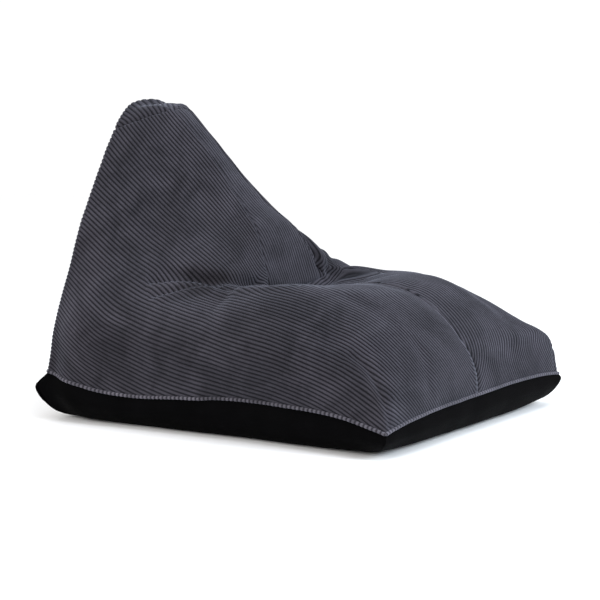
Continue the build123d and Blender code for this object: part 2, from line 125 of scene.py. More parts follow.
for row, (y, crown, *corners) in enumerate(bag_rows):
    cage_point(row, 0, 0.0, y, crown)
    for side in (-1, 1):
        chain = [np.array(corner) for corner in corners]
        if side > 0:
            for column in range(1, 5):
                chain[column - 1] += left_side_changes.get((row, column), (0.0, 0.0))
        haunch = chain[3]
        foot = np.array((hem_half(y), hem_height(side * hem_half(y), y)))
        skirt = foot + SKIRT_SHARE * (haunch - foot) + (SKIRT_BULGE, 0.0)
        # one more point on the curve between the flank and the haunch, where the deep folds lie
        between = (9 * (chain[2] + haunch) - chain[1] - skirt) / 16
        for column, (x, z) in enumerate(chain[:3] + [between, haunch, skirt, foot], start=1):
            cage_point(row, side * column, side * x, y, z)
front_row = len(bag_rows)
front_places = (0.0, 0.17, 0.255, 0.335, 0.364, 0.39, 0.424, HEM_HALF)
for column in range(-7, 8):
    x = math.copysign(front_places[abs(column)], column)
    cage_point(front_row, column, x, HEM_FRONT, hem_height(x, HEM_FRONT))

# The rear: rows of points between the two rear edges, from the shoulders down to the hem.
rear_columns = (-2, -1, 0, 1, 2)
rear_net = {}
for place, column in enumerate(rear_columns):
    rear_net[2, place] = cage_at[0, column]
for level in (3, 4, 5, 6, 7):
    left = cage[cage_at[0, -level]]
    right = cage[cage_at[0, level]]
    rear_net[level, 0] = cage_at[0, -level]
    rear_net[level, 4] = cage_at[0, level]
    for place in (1, 2, 3):
        share = place / 4
        x = left[0] + (right[0] - left[0]) * share
        z = left[2] + (right[2] - left[2]) * share
        if level == 7:
            z = hem_height(x, REAR)
        rear_net[level, place] = len(cage)
        cage.append((x, REAR + REAR_BULGE * (level < 7), z))

RIGHT_SIDE, LEFT_SIDE, BACKREST = 0, 1, 2
cage_faces = []
cage_panels = []
for row in range(front_row):
    for column in range(-7, 7):
        quad = [cage_at[row, column], cage_at[row, column + 1], cage_at[row + 1, column + 1],
                cage_at[row + 1, column]]
        cage_faces.append(quad[::-1])
        if row < CREASE_ROW and column in (-1, 0):
            cage_panels.append(BACKREST)
        else:
            cage_panels.append(RIGHT_SIDE if column < 0 else LEFT_SIDE)
for level in (2, 3, 4, 5, 6):
    for place in range(4):
        quad = [rear_net[level, place], rear_net[level, place + 1], rear_net[level + 1, place + 1],
                rear_net[level + 1, place]]
        cage_faces.append(quad)
        cage_panels.append(RIGHT_SIDE if place < 2 else LEFT_SIDE)


def rounded(points, faces, panels, levels):
    """Round a coarse net of points and give its fine points, faces and panel numbers."""
    mesh = bpy.data.meshes.new("bag_net")
    mesh.from_pydata(points, [], faces)
    for _ in range(3):
        mesh.materials.append(None)
    mesh.polygons.foreach_set("material_index", panels)
    net = bpy.data.objects.new("bag_net", mesh)
    bpy.context.scene.collection.objects.link(net)
    edge = net.vertex_groups.new(name="edge")
    edge.add([cage_at[r, c] for r in range(front_row + 1) for c in (-1, 1)], 1.0, "REPLACE")
    modifier = net.modifiers.new("Rounding", "SUBSURF")
    modifier.levels = modifier.render_levels = levels
    modifier.use_limit_surface = True
    modifier.boundary_smooth = "PRESERVE_CORNERS"
    graph = bpy.context.evaluated_depsgraph_get()
    fine = net.evaluated_get(graph).to_mesh()
    co = np.empty(len(fine.vertices) * 3)
    fine.vertices.foreach_get("co", co)
    weights = np.array([v.groups[0].weight if v.groups else 0.0 for v in fine.vertices])
    fine_faces = [tuple(p.vertices) for p in fine.polygons]
    fine_panels = [p.material_index for p in fine.polygons]
    net.evaluated_get(graph).to_mesh_clear()
    bpy.data.objects.remove(net)
    bpy.data.meshes.remove(mesh)
    return co.reshape(-1, 3), fine_faces, fine_panels, weights


# The rounded bag passes through the points of the net, so the net is pushed out by what rounding took.
target = np.array(cage)
pushed = target.copy()
for _ in range(PUSH_ROUNDS):
    limit = rounded(pushed.tolist(), cage_faces, cage_panels, 1)[0][:len(target)]
    pushed += PUSH_SHARE * (target - limit)
bag, bag_faces, bag_panels, edge_weight = rounded(pushed.tolist(), cage_faces, cage_panels, ROUNDING_LEVELS)


def face_normals(points, faces):
    """Vertex normals of a net of quads, facing outwards."""
    quads = np.array(faces)
    across = points[quads[:, 2]] - points[quads[:, 0]]
    along = points[quads[:, 3]] - points[quads[:, 1]]
    normal = np.cross(across, along)
    total = np.zeros_like(points)
    for corner in range(4):
        np.add.at(total, quads[:, corner], normal)
    return total / np.maximum(np.linalg.norm(total, axis=1, keepdims=True), 1e-12)


bag_normals = face_normals(bag, bag_faces)
stuffed, stuffed_normals = bag.copy(), bag_normals.copy()


def along_path(points, steps):
    """A smooth chain of points through a few chosen ones."""
    chain = []
    knots = [points[0]] + list(points) + [points[-1]]
    for k in range(1, len(knots) - 2):
        p0, p1, p2, p3 = (np.array(knot, float) for knot in knots[k - 1:k + 3])
        for step in range(steps):
            t = step / steps
            chain.append(0.5 * (2 * p1 + (p2 - p0) * t + (2 * p0 - 5 * p1 + 4 * p2 - p3) * t * t
                                + (3 * p1 - p0 - 3 * p2 + p3) * t ** 3))
    chain.append(np.array(points[-1], float))
    return np.array(chain)


def near_path(places, path):
    """Each place's way from a chain of points, the chain's direction there, and how far along it that is."""
    best = np.full(len(places), 9.0)
    share = np.zeros(len(places))
    away = np.zeros_like(places)
    heading = np.zeros_like(places)
    for k in range(len(path) - 1):
        run = path[k + 1] - path[k]
        t = np.clip((places - path[k]) @ run / max(run @ run, 1e-12), 0, 1)
        step = places - path[k] - t[:, None] * run
        gap = np.linalg.norm(step, axis=1)
        closer = gap < best
        best[closer] = gap[closer]
        away[closer] = step[closer]
        heading[closer] = run
        share[closer] = (k + t[closer]) / (len(path) - 1)
    return away, heading, share


# Where the stuffed cloth is creased (depth below the surface, or negative where it stands up), and how wide
# that is; then how sharply it fades at its two ends (0 does not fade), and the points it runs through.
folds = [
    # the crease beside the backrest on the sitter's right
    (0.020, 0.020, 1, 0, ((-0.292, 0.225, 0.374), (-0.276, 0.160, 0.368), (-0.268, 0.105, 0.360),
                          (-0.255, 0.050, 0.352), (-0.230, 0.018, 0.348), (-0.180, 0.000, 0.340))),
    # the same crease on the sitter's left
    (0.016, 0.016, 1, 0, ((0.300, 0.205, 0.360), (0.275, 0.120, 0.362), (0.235, 0.060, 0.362),
                          (0.185, 0.030, 0.362), (0.150, 0.004, 0.345))),
    # the bottom of the crease, where the seat tucks under the backrest
    (0.010, 0.016, 0.5, 0.5, ((-0.150, -0.004, 0.335), (-0.075, -0.010, 0.316), (0.0, -0.012, 0.310),
                              (0.075, -0.010, 0.316), (0.150, -0.004, 0.335))),
    # the soft hollow down the middle of the seat and the front
    (0.009, 0.046, 0.6, 1, ((-0.025, -0.200, 0.345), (-0.020, -0.270, 0.343), (0.000, -0.354, 0.318),
                            (0.008, -0.426, 0.268), (0.000, -0.482, 0.206), (0.010, -0.506, 0.140))),
    # the round swell of each side roll
    (-0.011, 0.050, 1, 1, ((-0.372, 0.240, 0.270), (-0.374, 0.110, 0.296), (-0.384, 0.000, 0.306),
                           (-0.384, -0.120, 0.308), (-0.378, -0.230, 0.290), (-0.370, -0.320, 0.258))),
    (-0.010, 0.050, 1, 1, ((0.372, 0.110, 0.300), (0.376, 0.000, 0.296), (0.376, -0.120, 0.290),
                           (0.372, -0.230, 0.276), (0.370, -0.320, 0.252))),
    # the swollen cloth beside each front dart
    (-0.006, 0.026, 1, 0.5, ((-0.360, -0.415, 0.220), (-0.375, -0.455, 0.180), (-0.390, -0.490, 0.125))),
    # broad slack places in the sides and the seat
    (0.006, 0.050, 1, 1, ((-0.120, 0.300, 0.600), (-0.200, 0.290, 0.480), (-0.290, 0.270, 0.400))),
    (0.005, 0.035, 1, 1, ((-0.080, 0.240, 0.560), (-0.130, 0.200, 0.500), (-0.190, 0.140, 0.420))),
    (0.004, 0.030, 1, 1, ((-0.400, 0.330, 0.300), (-0.420, 0.230, 0.220), (-0.430, 0.150, 0.150))),
    (0.005, 0.040, 1, 1, ((-0.240, -0.290, 0.340), (-0.330, -0.330, 0.300), (-0.400, -0.330, 0.230))),
    (0.005, 0.035, 1, 1, ((0.240, -0.340, 0.310), (0.280, -0.430, 0.250), (0.300, -0.490, 0.160))),
    (0.004, 0.022, 1, 1, ((-0.200, -0.440, 0.250), (-0.230, -0.485, 0.180), (-0.240, -0.508, 0.110))),
    (0.006, 0.045, 1, 1, ((0.130, 0.300, 0.600), (0.210, 0.290, 0.470), (0.300, 0.270, 0.390))),
]
# Where one stretch of cloth laps over the next: how far the lap stands up and how deep the cloth dives behind
# it, how wide each of those is, and the path of its edge, with the lap on the right of the way it runs.
laps = [
    # the upper fold and the lower one, on the sitter's right, with a lens of cloth between them
    (0.010, 0.023, 0.026, 0.032, ((-0.330, 0.232, 0.336), (-0.318, 0.200, 0.344), (-0.300, 0.150, 0.350),
                                  (-0.292, 0.110, 0.349), (-0.290, 0.073, 0.344), (-0.292, 0.045, 0.340))),
    (0.007, 0.012, 0.018, 0.018, ((-0.356, 0.200, 0.296), (-0.342, 0.172, 0.311), (-0.322, 0.128, 0.326),
                                  (-0.308, 0.067, 0.337), (-0.309, -0.031, 0.349), (-0.311, -0.118, 0.356),
                                  (-0.305, -0.193, 0.358))),
    # the upright fold at the backrest's corner on the sitter's left, and a soft one beyond it
    (0.008, 0.014, 0.022, 0.020, ((0.136, -0.010, 0.330), (0.134, 0.012, 0.362), (0.140, 0.032, 0.394),
                                  (0.134, 0.058, 0.424), (0.118, 0.088, 0.448))),
    (0.004, 0.006, 0.016, 0.014, ((0.170, -0.008, 0.348), (0.190, 0.018, 0.368), (0.204, 0.040, 0.380),
                                  (0.214, 0.070, 0.390))),
    # the darts at the front corners
    (0.003, 0.008, 0.020, 0.012, ((-0.386, -0.372, 0.212), (-0.394, -0.415, 0.196), (-0.408, -0.452, 0.162),
                                  (-0.424, -0.485, 0.118), (-0.438, -0.508, 0.068))),
    (0.003, 0.008, 0.020, 0.012, ((0.436, -0.508, 0.084), (0.418, -0.480, 0.160), (0.402, -0.445, 0.205),
                                  (0.386, -0.400, 0.236))),
]
PATH_STEPS = 8
FADE_SHARE = 0.35
# The cloth drops over this width behind a lap's edge, and its points are gathered towards that edge.
LAP_DROP = 0.013
GATHER, GATHER_REACH = 0.55, 0.018
LAP_FADE = 0.6
CREST = 0.009
crest = np.zeros(len(bag))
for depth, width, start_fade, end_fade, path in folds:
    away, _, share = near_path(bag, along_path(path, PATH_STEPS))
    fade = np.sin(np.pi / 2 * np.clip(share / FADE_SHARE, 0, 1)) ** start_fade
    fade *= np.sin(np.pi / 2 * np.clip((1 - share) / FADE_SHARE, 0, 1)) ** end_fade
    bag -= bag_normals * (depth * fade * np.exp(-(away ** 2).sum(1) / width ** 2))[:, None]
bag_normals = face_normals(bag, bag_faces)
for height, depth, lap_width, dive_width, path in laps:
    path = along_path(path, PATH_STEPS)
    for k, point in enumerate(path):
        under = np.argmin(((bag - point) ** 2).sum(1))
        path[k] += bag_normals[under] * ((bag[under] - point) @ bag_normals[under])
    away, heading, share = near_path(bag, path)
    away -= (away * bag_normals).sum(1)[:, None] * bag_normals
    gap = np.linalg.norm(away, axis=1)
    fade = np.sin(np.pi * np.clip(share, 0, 1)) ** LAP_FADE * (share > 0) * (share < 1)
    gathered = GATHER * fade * np.exp(-(gap / GATHER_REACH) ** 2)
    bag -= away * gathered[:, None]
    gap *= 1 - gathered
    behind = (np.cross(heading, bag_normals) * away).sum(1) < 0
    drop = np.clip(gap / LAP_DROP, 0, 1)
    drop = drop * drop * (3 - 2 * drop)
    lift = np.where(behind, height * (1 - drop) - depth * drop * np.exp(-(gap / dive_width) ** 2),
                    height * np.exp(-(gap / lap_width) ** 2))
    bag += bag_normals * (fade * lift)[:, None]
    crest = np.maximum(crest, fade * np.exp(-(gap / CREST) ** 2))

# The beads sag and settle unevenly under the cloth, except behind the flat middle of the rear panel.
SAG, SAG_CLOSENESS = 0.0030, 7.0
LUMPS, LUMP_CLOSENESS = 0.0016, 17.0
FLAT_HALF, FLAT_EDGE = 0.075, 0.045
ripple = np.array([SAG * noise.noise(Vector(p) * SAG_CLOSENESS) + LUMPS * noise.noise(Vector(p) * LUMP_CLOSENESS)
                   for p in bag])
bag += bag_normals * ripple[:, None]
middle_of_rear = np.clip((FLAT_HALF - np.abs(bag[:, 0])) / FLAT_EDGE, 0, 1)
middle_of_rear *= (bag[:, 1] > 0.46) * (bag[:, 2] < 0.757)
behind_zip_and_loop = np.interp(bag[:, 2], (0.57, 0.60), (REAR - 0.0005, REAR - 0.0024))
bag[:, 1] += (behind_zip_and_loop - bag[:, 1]) * middle_of_rear
bag_normals = face_normals(bag, bag_faces)

# ---- corduroy panels -----------------------------------------------------------------------------
# Jumbo corduroy in charcoal, cut as a backrest wedge, two sides that meet along the seat and down the rear,
# and a cap. The wales turn with the cloth as it is pulled; each panel is pinched down into its seams.
WALE_PITCH = 0.0102
WALE_HEIGHT = 0.0022
CUTS_PER_WALE = 6
CLOTH = 0.003
SEAM_PINCH = 0.0018
SEAM_REACH = 0.008
SIDE_LEAN = (0.545, 0.838)
# How the wales run over a side: at places given along the side's lean and by height, how steeply they fall
# towards the front, in degrees, and how much closer together they lie there than their pitch.
wale_falls = (
    (0.44, 0.65, 49, 1.02), (0.36, 0.61, 47, 1.14), (0.28, 0.57, 52, 1.25), (0.20, 0.53, 54, 1.45),
    (0.47, 0.46, 39, 1.03), (0.43, 0.42, 33, 1.04), (0.39, 0.38, 25, 1.16), (0.30, 0.43, 47, 1.35),
    (0.20, 0.44, 56, 1.38), (0.54, 0.27, 45, 1.35), (0.51, 0.31, 38, 1.14), (0.42, 0.20, 18, 1.04),
    (0.34, 0.21, 4, 1.02), (0.26, 0.18, 6, 0.92), (0.14, 0.24, 4, 1.02), (0.11, 0.20, 5, 1.02),
    (0.00, 0.24, 14, 1.22), (0.00, 0.20, 16, 1.16), (-0.07, 0.27, 18, 1.26), (-0.14, 0.24, 35, 1.30),
    (-0.21, 0.23, 45, 1.10), (-0.29, 0.22, 55, 1.02), (-0.40, 0.20, 62, 1.00), (0.15, 0.32, 14, 1.15),
    (0.05, 0.32, 15, 1.20), (-0.04, 0.33, 17, 1.30), (0.00, 0.28, 16, 1.15), (0.19, 0.385, 60, 1.35),
    (0.12, 0.39, 68, 1.50), (-0.20, 0.35, 34, 1.15), (0.27, 0.30, 14, 1.07), (0.22, 0.31, 12, 1.12),
)
FALL_REACH = 0.035
SETTLING_ROUNDS = 700


def wale_grain(points, normals):
    """The way the wale count rises at each place on the cloth, and how far that can be trusted."""
    mirror = np.where(points[:, 0] < 0, -1.0, 1.0)
    lean = np.stack([SIDE_LEAN[0] * mirror, np.full(len(points), SIDE_LEAN[1]), np.zeros(len(points))], axis=1)
    outwards = np.stack([SIDE_LEAN[1] * mirror, np.full(len(points), -SIDE_LEAN[0]), np.zeros(len(points))],
                        axis=1)
    upright = np.array((0.0, 0.0, 1.0))
    along_side = (points * lean).sum(1)
    weight = np.zeros(len(points))
    run = np.zeros(len(points))
    fall = np.zeros(len(points))
    close = np.zeros(len(points))
    for place, height, angle, closeness in wale_falls:
        near = 1 / ((along_side - place) ** 2 + (points[:, 2] - height) ** 2 + FALL_REACH ** 2) ** 2
        weight += near
        run += near * math.cos(math.radians(angle))
        fall += near * math.sin(math.radians(angle))
        close += near * closeness
    size = np.hypot(run, fall)
    run, fall, close = run / size, fall / size, close / weight
    facing = (normals * outwards).sum(1)
    turn = (run * (normals * lean).sum(1) + fall * normals[:, 2]) / np.maximum(facing, 0.2)
    wale_run = -run[:, None] * lean - fall[:, None] * upright + turn[:, None] * outwards
    wale_run -= (wale_run * normals).sum(1)[:, None] * normals
    rise = np.cross(normals, wale_run)
    rise /= np.maximum(np.linalg.norm(rise, axis=1, keepdims=True), 1e-9)
    rearwards = fall[:, None] * lean - run[:, None] * upright
    rise *= np.sign((rise * rearwards).sum(1))[:, None]
    return rise * close[:, None], np.where(facing < 0.1, 0.02, facing)


def settled_wales(points, normals, faces):
    """A count of the wales over the cloth that follows their grain as closely as one cloth can."""
    quads = np.array(faces)
    i = np.concatenate([quads[:, a] for a in (0, 1, 2, 3, 0, 1)])
    j = np.concatenate([quads[:, b] for b in (1, 2, 3, 0, 2, 3)])
    grain, trust = wale_grain(points, normals)
    step = points[j] - points[i]
    wanted = 0.5 * ((grain[i] + grain[j]) * step).sum(1)
    weight = np.minimum(trust[i], trust[j]) / (step ** 2).sum(1)
    on_seam = (edge_weight > 0.999) & (points[:, 1] < 0.40) & (points[:, 1] > bag_rows[CREASE_ROW][0])
    along_seam = on_seam[i] & on_seam[j] & (points[i, 0] * points[j, 0] > 0)
    wanted[along_seam] = 0.0
    weight[along_seam] *= 4.0
    count = len(points)

    def pull(values):
        force = weight * (values[i] - values[j])
        return np.bincount(i, force, count) - np.bincount(j, force, count)

    scale = 1 / (np.bincount(i, weight, count) + np.bincount(j, weight, count))
    values = 0.55 * (SIDE_LEAN[0] * np.abs(points[:, 0]) + SIDE_LEAN[1] * points[:, 1]) - 0.83 * points[:, 2]
    left = np.bincount(j, weight * wanted, count) - np.bincount(i, weight * wanted, count) - pull(values)
    eased = scale * left
    way = eased.copy()
    size = left @ eased
    for _ in range(SETTLING_ROUNDS):
        moved = pull(way)
        share = size / (way @ moved)
        values += share * way
        left -= share * moved
        eased = scale * left
        new_size = left @ eased
        way = eased + way * (new_size / size)
        size = new_size
    return values - values[on_seam].mean()


side_wale = settled_wales(stuffed, stuffed_normals, bag_faces)
backrest_wale = bag[:, 0].copy()
# The cap's seam slants down to the rear, and its wales curve over the peak.
CAP_SEAM, CAP_SLOPE = 0.7047, 0.46
CAP_TUCK, CAP_TUCK_REACH, CAP_TUCK_FROM = 0.0060, 0.016, 0.395
cap_middle = (0.500, 0.645)
back_along = SIDE_LEAN[0] * np.abs(bag[:, 0]) + SIDE_LEAN[1] * bag[:, 1]
cap_wale = -np.hypot(back_along - cap_middle[0], bag[:, 2] - cap_middle[1])
above_cap_seam = bag[:, 2] - CAP_SEAM - CAP_SLOPE * (REAR - bag[:, 1])
joined = (np.abs(above_cap_seam) < 0.006) & (bag[:, 1] < 0.40) & (np.abs(bag[:, 0]) > 0.02)
cap_wale += (side_wale - cap_wale)[joined].mean()


def cut_faces(value, faces):
    """Cut faces where the value is a whole number. Gives the corners as blends of two old points, the new
    faces, the whole number under each, and the corners that lie along each old edge."""
    value = np.where(np.abs(value - np.round(value)) < 1e-5, value + 2e-5, value).tolist()
    blends = [(i, i, 0.0) for i in range(len(value))]
    crossings = {}

    def along(i, j):
        """Corners between two old points, in order from the first to the second."""
        key = (i, j) if i < j else (j, i)
        if key not in crossings:
            a, b = value[key[0]], value[key[1]]
            levels = range(math.floor(min(a, b)) + 1, math.floor(max(a, b)) + 1)
            if a > b:
                levels = reversed(levels)
            found = []
            for level in levels:
                found.append((len(blends), level))
                blends.append((key[0], key[1], (level - a) / (b - a)))
            crossings[key] = found
        found = crossings[key]
        return found if i < j else found[::-1]

    pieces, bands, sources = [], [], []
    for index, face in enumerate(faces):
        ring = []
        for k, i in enumerate(face):
            band = math.floor(value[i])
            ring.append((i, band, band))
            for corner, level in along(i, face[(k + 1) % len(face)]):
                ring.append((corner, level - 1, level))
        for band in range(min(r[1] for r in ring), max(r[2] for r in ring) + 1):
            piece = [r[0] for r in ring if r[1] <= band <= r[2]]
            if len(piece) > 2:
                pieces.append(piece)
                bands.append(band)
                sources.append(index)
    return blends, pieces, bands, sources, along


def blended(array, blends):
    """An array of point values carried over to the corners of the cut faces."""
    i, j, t = (np.array(part) for part in zip(*blends))
    t = t[:, None] if array.ndim > 1 else t
    return array[i] * (1 - t) + array[j] * t


# First the cap is cut off along its slanting seam.
blends, cover_faces, bands, sources, _ = cut_faces(above_cap_seam / 10.0, bag_faces)
cover = blended(bag, blends)
cover_normals = blended(bag_normals, blends)
cover_side_wale = blended(side_wale, blends)
cover_backrest_wale = blended(backrest_wale, blends)
cover_cap_wale = blended(cap_wale, blends)
cover_crest = blended(crest, blends)
on_cap_seam = np.abs(blended(above_cap_seam, blends)) < 1e-5
CAP = 3
cover_panels = [CAP if band >= 0 else bag_panels[source] for band, source in zip(bands, sources)]

# Height of the cuts across one wale; the lift of a wale squeezed in a seam, on a lap's edge and on the backrest.
wale_profile = [0.0, 0.62, 0.93, 1.0, 0.93, 0.62, 0.0]
SQUEEZED, EDGE_FLATNESS, BACKREST_WALES = 0.35, 0.95, 0.5
# The rear seam between the two sides is left open over the zip.
ZIP_SLIT = (0.118, 0.567)
ZIP_SLIT_HALF = 0.0055
SLIT_SIDE = {RIGHT_SIDE: -1, LEFT_SIDE: 1}


def edge_uses(faces):
    """How many faces lie on each edge of a net."""
    uses = {}
    for face in faces:
        for i, j in zip(face, face[1:] + face[:1]):
            uses[min(i, j), max(i, j)] = uses.get((min(i, j), max(i, j)), 0) + 1
    return uses


def add_mesh(name, points, faces):
    """A smooth-shaded object made of points and faces."""
    mesh = bpy.data.meshes.new(name)
    mesh.from_pydata([tuple(p) for p in points], [], faces)
    mesh.polygons.foreach_set("use_smooth", [True] * len(mesh.polygons))
    piece = bpy.data.objects.new(name, mesh)
    bpy.context.scene.collection.objects.link(piece)
    return piece


def corduroy_panel(name, panel, wale):
    """One panel: ridged outside, plain inside, closed round its edge, and pinched where it is sewn."""
    # the panel's own faces and points, and the edges round it
    faces = [face for face, number in zip(cover_faces, cover_panels) if number == panel]
    used = sorted({i for face in faces for i in face})
    renumber = {old: new for new, old in enumerate(used)}
    faces = [[renumber[i] for i in face] for face in faces]
    points, normals, rows = cover[used].copy(), cover_normals[used], wale[used] / WALE_PITCH
    capped = on_cap_seam[used]
    edges = edge_uses(faces)
    rim = sorted({i for edge, uses in edges.items() if uses == 1 for i in edge})
    if panel in SLIT_SIDE:
        slit = [i for i in rim if abs(points[i][0]) < 0.003 and points[i][1] > 0.47
                and ZIP_SLIT[0] < points[i][2] < ZIP_SLIT[1]]
        points[slit, 0] = SLIT_SIDE[panel] * ZIP_SLIT_HALF
    # how far every point is from a sewn edge
    sewn = [i for i in rim if not capped[i] or (panel == CAP and points[i][1] > CAP_TUCK_FROM)]
    pinch, reach = (CAP_TUCK, CAP_TUCK_REACH) if panel == CAP else (SEAM_PINCH, SEAM_REACH)
    tree = KDTree(len(sewn))
    for k, i in enumerate(sewn):
        tree.insert(points[i], k)
    tree.balance()
    gap = np.array([tree.find(p)[2] for p in points])
    blends, pieces, bands, sources, along = cut_faces(rows * CUTS_PER_WALE, faces)
    # the plain back of each face, with the rim that joins it to the outside
    rims, backs, lining = [], [], {}
    for face in faces:
        ring = []
        for k, i in enumerate(face):
            j = face[(k + 1) % len(face)]
            ring.append(i)
            if edges[(min(i, j), max(i, j))] == 1:
                chain = [i] + [corner for corner, _ in along(i, j)] + [j]
                ring += chain[1:-1]
                rims += zip(chain, chain[1:])
        for i in ring:
            lining.setdefault(i, len(lining))
        backs.append(ring[::-1])
    # the ridges, and the back a cloth's thickness behind them
    outside = blended(points, blends)
    outward = blended(normals, blends)
    outward /= np.linalg.norm(outward, axis=1, keepdims=True)
    fullness = np.clip(blended(gap, blends) / reach, 0, 1)
    row = blended(rows, blends)
    ridge = np.interp(np.mod(row, 1.0) * CUTS_PER_WALE, range(CUTS_PER_WALE + 1), wale_profile)
    flattened = 1 - EDGE_FLATNESS * blended(cover_crest[used], blends)
    flattened *= BACKREST_WALES if panel == BACKREST else 1.0
    lift = WALE_HEIGHT * ridge * (SQUEEZED + (1 - SQUEEZED) * fullness) * flattened
    lift -= pinch * (1 - fullness) ** 2
    inside_at = sorted(lining, key=lining.get)
    inner = outside[inside_at] - outward[inside_at] * CLOTH
    outside = outside + outward * lift[:, None]
    count = len(outside)
    # all of it as one closed mesh, which keeps the wale count for the colour and its painted groove shade
    closing = [(b, a, count + lining[a], count + lining[b]) for a, b in rims]
    closing += [[count + lining[i] for i in ring] for ring in backs]
    piece = add_mesh(name, np.vstack([outside, inner]), pieces + closing)
    attribute = piece.data.attributes.new("wale", "FLOAT", "POINT")
    attribute.data.foreach_set("value", np.concatenate([row, row[inside_at]]))
    piece.data.validate()
    return piece


def new_material(name):
    """A new material, its nodes and links, and its shader."""
    material = bpy.data.materials.new(name)
    material.use_nodes = True
    nodes = material.node_tree.nodes
    return material, nodes, material.node_tree.links, nodes["Principled BSDF"]


def add_node(kind, *feeds, **settings):
    """A node in the tree at hand. Feeds go to its inputs in order, and capitalised settings to those they name."""
    node = nodes.new(kind)
    named = {}
    for key, value in settings.items():
        if key[0].isupper():
            named[key.replace("_", " ")] = value
        else:
            setattr(node, key, value)
    for key, feed in [*enumerate(feeds), *named.items()]:
        if isinstance(feed, bpy.types.NodeSocket):
            links.new(feed, node.inputs[key])
        elif feed is not None:
            node.inputs[key].default_value = feed
    return node


def object_place():
    return add_node("ShaderNodeTexCoord").outputs["Object"]


def colour_between(factor, low, high):
    """Give the shader a colour that goes from one to another."""
    mix = add_node("ShaderNodeMix", data_type="RGBA", Factor=factor, A=(*low, 1), B=(*high, 1))
    links.new(mix.outputs["Result"], shader.inputs["Base Color"])
    return mix.outputs["Result"]


def bumpy(height, strength, distance, **settings):
    """Give the shader a fine relief."""
    bump = add_node("ShaderNodeBump", Strength=strength, Distance=distance, Height=height, **settings)
    links.new(bump.outputs[0], shader.inputs["Normal"])


def recoloured(material, name, low, high):
    """A copy of a material with other colours."""
    copy = material.copy()
    copy.name = name
    for node in copy.node_tree.nodes:
        if node.bl_idname == "ShaderNodeMix":
            node.inputs["A"].default_value = (*low, 1)
            node.inputs["B"].default_value = (*high, 1)
    return copy


corduroy, nodes, links, shader = new_material("charcoal_jumbo_corduroy")
# The wale count paints each groove dark as painted shade and each ridge top light as painted highlight.
wale_row = add_node("ShaderNodeAttribute", attribute_name="wale")
turn = add_node("ShaderNodeMath", wale_row.outputs["Fac"], 2 * math.pi, operation="MULTIPLY")
wave = add_node("ShaderNodeMath", turn.outputs[0], operation="COSINE")
painted_groove_shade = add_node("ShaderNodeMapRange", wave.outputs[0], 1.0, -0.6, 0.0, 1.0)
charcoal_with_painted_groove_shade = colour_between(painted_groove_shade.outputs[0], (0.0040, 0.0036, 0.0050), (0.0290, 0.0270, 0.0335))
place = object_place()
patches = add_node("ShaderNodeTexNoise", place, Scale=9.0, Detail=4.0, Roughness=0.6, Distortion=0.6)
patch_level = add_node("ShaderNodeMapRange", patches.outputs["Fac"], 0.35, 0.70, 0.74, 1.60)
pile = add_node("ShaderNodeTexNoise", place, Scale=420.0, Detail=3.0)
pile_level = add_node("ShaderNodeMapRange", pile.outputs["Fac"], 0.3, 0.7, 0.82, 1.18)
tone = add_node("ShaderNodeMath", patch_level.outputs[0], pile_level.outputs[0], operation="MULTIPLY")
shade = add_node("ShaderNodeVectorMath", charcoal_with_painted_groove_shade, operation="SCALE", Scale=tone.outputs[0])
links.new(shade.outputs[0], shader.inputs["Base Color"])
bumpy(pile.outputs["Fac"], 0.5, 0.0006)
shader.inputs["Roughness"].default_value = 0.9
shader.inputs["Sheen Weight"].default_value = 0.16
shader.inputs["Sheen Roughness"].default_value = 0.45
shader.inputs["Sheen Tint"].default_value = (0.75, 0.80, 1.0, 1.0)
shader.inputs["Specular IOR Level"].default_value = 0.10

for name, panel, wale, node in (
        ("backrest_corduroy", BACKREST, cover_backrest_wale, "backrest_panel"),
        ("left_side_corduroy", LEFT_SIDE, cover_side_wale, "left_side_panel"),
        ("right_side_corduroy", RIGHT_SIDE, cover_side_wale, "right_side_panel"),
        ("cap_corduroy", CAP, cover_cap_wale, "top_cap")):
    piece = corduroy_panel(name, panel, wale)
    piece.data.materials.append(corduroy)
    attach(piece, "root")
    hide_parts(node)

# ---- hem welt ------------------------------------------------------------------------------------
# A corduroy piping with a cord inside, sewn into the seam between the corduroy and the canvas. Its wales
# lie across the cord, so it looks like a row of small ribs.
WELT_RADIUS = 0.0042
WELT_LIFT = 0.0012
WELT_STEP = 0.00147


def hem_loop():
    """The bag's lower edge, in order round the bag from the sitter's right front corner."""
    beside = {}
    for (i, j), uses in edge_uses(bag_faces).items():
        if uses == 1:
            beside.setdefault(i, []).append(j)
            beside.setdefault(j, []).append(i)
    start = min(beside, key=lambda i: (bag[i][0] + bag[i][1]))
    loop = [start]
    here = max(beside[start], key=lambda i: bag[i][0])
    while here != start:
        loop.append(here)
        here = [i for i in beside[here] if i != loop[-2]][0]
    return loop


hem_ring = hem_loop()
hem = bag[hem_ring]
hem_run = np.roll(hem, -1, axis=0) - np.roll(hem, 1, axis=0)
hem_out = np.stack([hem_run[:, 1], -hem_run[:, 0], np.zeros(len(hem))], axis=1)
hem_out /= np.linalg.norm(hem_out, axis=1, keepdims=True)


def drawn_line(name, runs, closed=False):
    """A curve of straight runs, each a list of points."""
    curve = bpy.data.curves.new(name, "CURVE")
    curve.dimensions = "3D"
    for run in runs:
        spline = curve.splines.new("POLY")
        spline.points.add(len(run) - 1)
        spline.use_cyclic_u = closed
        for point, place in zip(spline.points, run):
            point.co = (*place, 1.0)
    line = bpy.data.objects.new(name, curve)
    bpy.context.scene.collection.objects.link(line)
    return line


